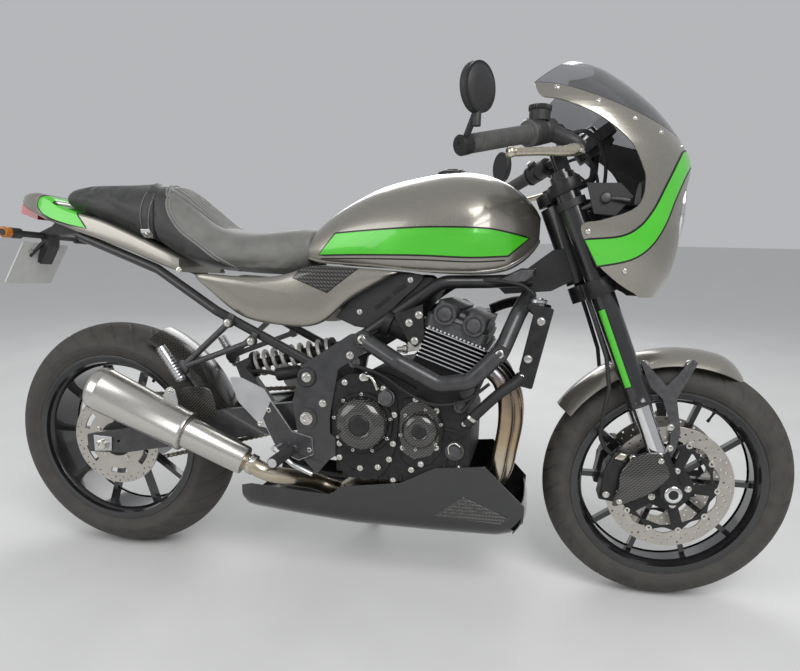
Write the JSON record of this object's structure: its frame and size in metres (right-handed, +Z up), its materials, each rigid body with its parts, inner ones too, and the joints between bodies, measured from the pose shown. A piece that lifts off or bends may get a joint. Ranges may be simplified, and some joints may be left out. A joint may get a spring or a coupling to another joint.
{
  "type": "cafe racer motorcycle",
  "caption": "Faired cafe racer motorcycle parked leaning on its side stand, with turning wheels, a steered fork and a folding stand.",
  "frame": {"origin": "floor level, centre of the bounding box seen from above", "axes": "+X to the front wheel, +Y to the machine's left, +Z up; the machine leans 5.5 degrees to +Y"},
  "size_m": [2.0807, 0.9322, 1.2356],
  "materials": {
    "tyre": "matte",
    "black_wheel": "satin",
    "disc_steel": "brushed",
    "chain_steel": "satin",
    "dark_alloy": "satin",
    "bright_alloy": "satin",
    "black_anodised": "satin",
    "grey_paint": "metallic gloss",
    "black_paint": "gloss",
    "graphite_paint": "satin",
    "black_rubber": "matte",
    "black_plastic": "satin",
    "smoked_screen": "smoked",
    "cast_case": "satin black",
    "pipe_steel": "heat tinted",
    "brushed_silencer": "brushed",
    "seat_leather": "matte",
    "lamp_red": "gloss",
    "white_plate": "satin"
  },
  "bodies": {
    "chassis": {"chain": "chain_steel", "steering_head": "black_paint", "frame_tubes": "black_paint", "cradle_tubes": "graphite_paint", "pivot_plates": "dark_alloy", "subframe": "black_paint", "engine_block": "cast_case", "cylinders": "cast_case", "head_cover": "cast_case", "side_covers": "dark_alloy", "airbox": "black_plastic", "radiator": "black_plastic", "headers": "pipe_steel", "muffler": "brushed_silencer", "belly_pan": "black_paint", "fuel_tank": "grey_paint", "rear_pad": "seat_leather", "rider_seat": "seat_leather", "tail_cowl": "grey_paint", "side_panels": "grey_paint", "swingarm": "graphite_paint", "shock": "black_paint", "rear_caliper": "dark_alloy", "heel_plates": "bright_alloy", "passenger_hangers": "black_paint", "rear_hugger": "black_plastic", "tail_lamp": "lamp_red", "plate_holder": "black_plastic", "licence_plate": "white_plate"},
    "steering": {"triple_clamps": "dark_alloy", "fork_tubes": "black_anodised", "fork_sliders": "dark_alloy", "front_axle": "disc_steel", "front_calipers": "dark_alloy", "front_fender": "grey_paint", "fender_stays": "grey_paint", "handlebar": "black_paint", "grips": "black_rubber", "controls": "black_plastic", "mirrors": "black_plastic", "headlight": "black_plastic", "instruments": "black_plastic", "fairing": "grey_paint", "windscreen": "smoked_screen", "brake_hoses": "black_rubber"},
    "front_wheel": {"front_tyre": "tyre", "front_rim": "black_wheel", "front_discs": "disc_steel"},
    "rear_wheel": {"rear_tyre": "tyre", "rear_rim": "black_wheel", "rear_disc": "disc_steel", "rear_sprocket": "disc_steel"},
    "side_stand": {"side_stand": "black_paint"}
  },
  "joints": [
    {"name": "steering_turn", "type": "hinge", "parent": "chassis", "child": "steering", "pos_m": [0.71081, -0.07766, 0.28592], "axis": [-0.4067, 0.0876, 0.9093], "range_deg": [-35, 35]},
    {"name": "front_wheel_spin", "type": "hinge", "parent": "steering", "child": "front_wheel", "pos_m": [0.7405, -0.07639, 0.29908], "axis": [0, 0.9954, -0.0958], "continuous": true},
    {"name": "rear_wheel_spin", "type": "hinge", "parent": "chassis", "child": "rear_wheel", "pos_m": [-0.7245, -0.07486, 0.31501], "axis": [0, 0.9954, -0.0958], "continuous": true},
    {"name": "side_stand_fold", "type": "hinge", "parent": "chassis", "child": "side_stand", "pos_m": [-0.1045, 0.09899, 0.2842], "axis": [0, 0.9863, 0.165], "range_deg": [0, 95]}
  ]
}
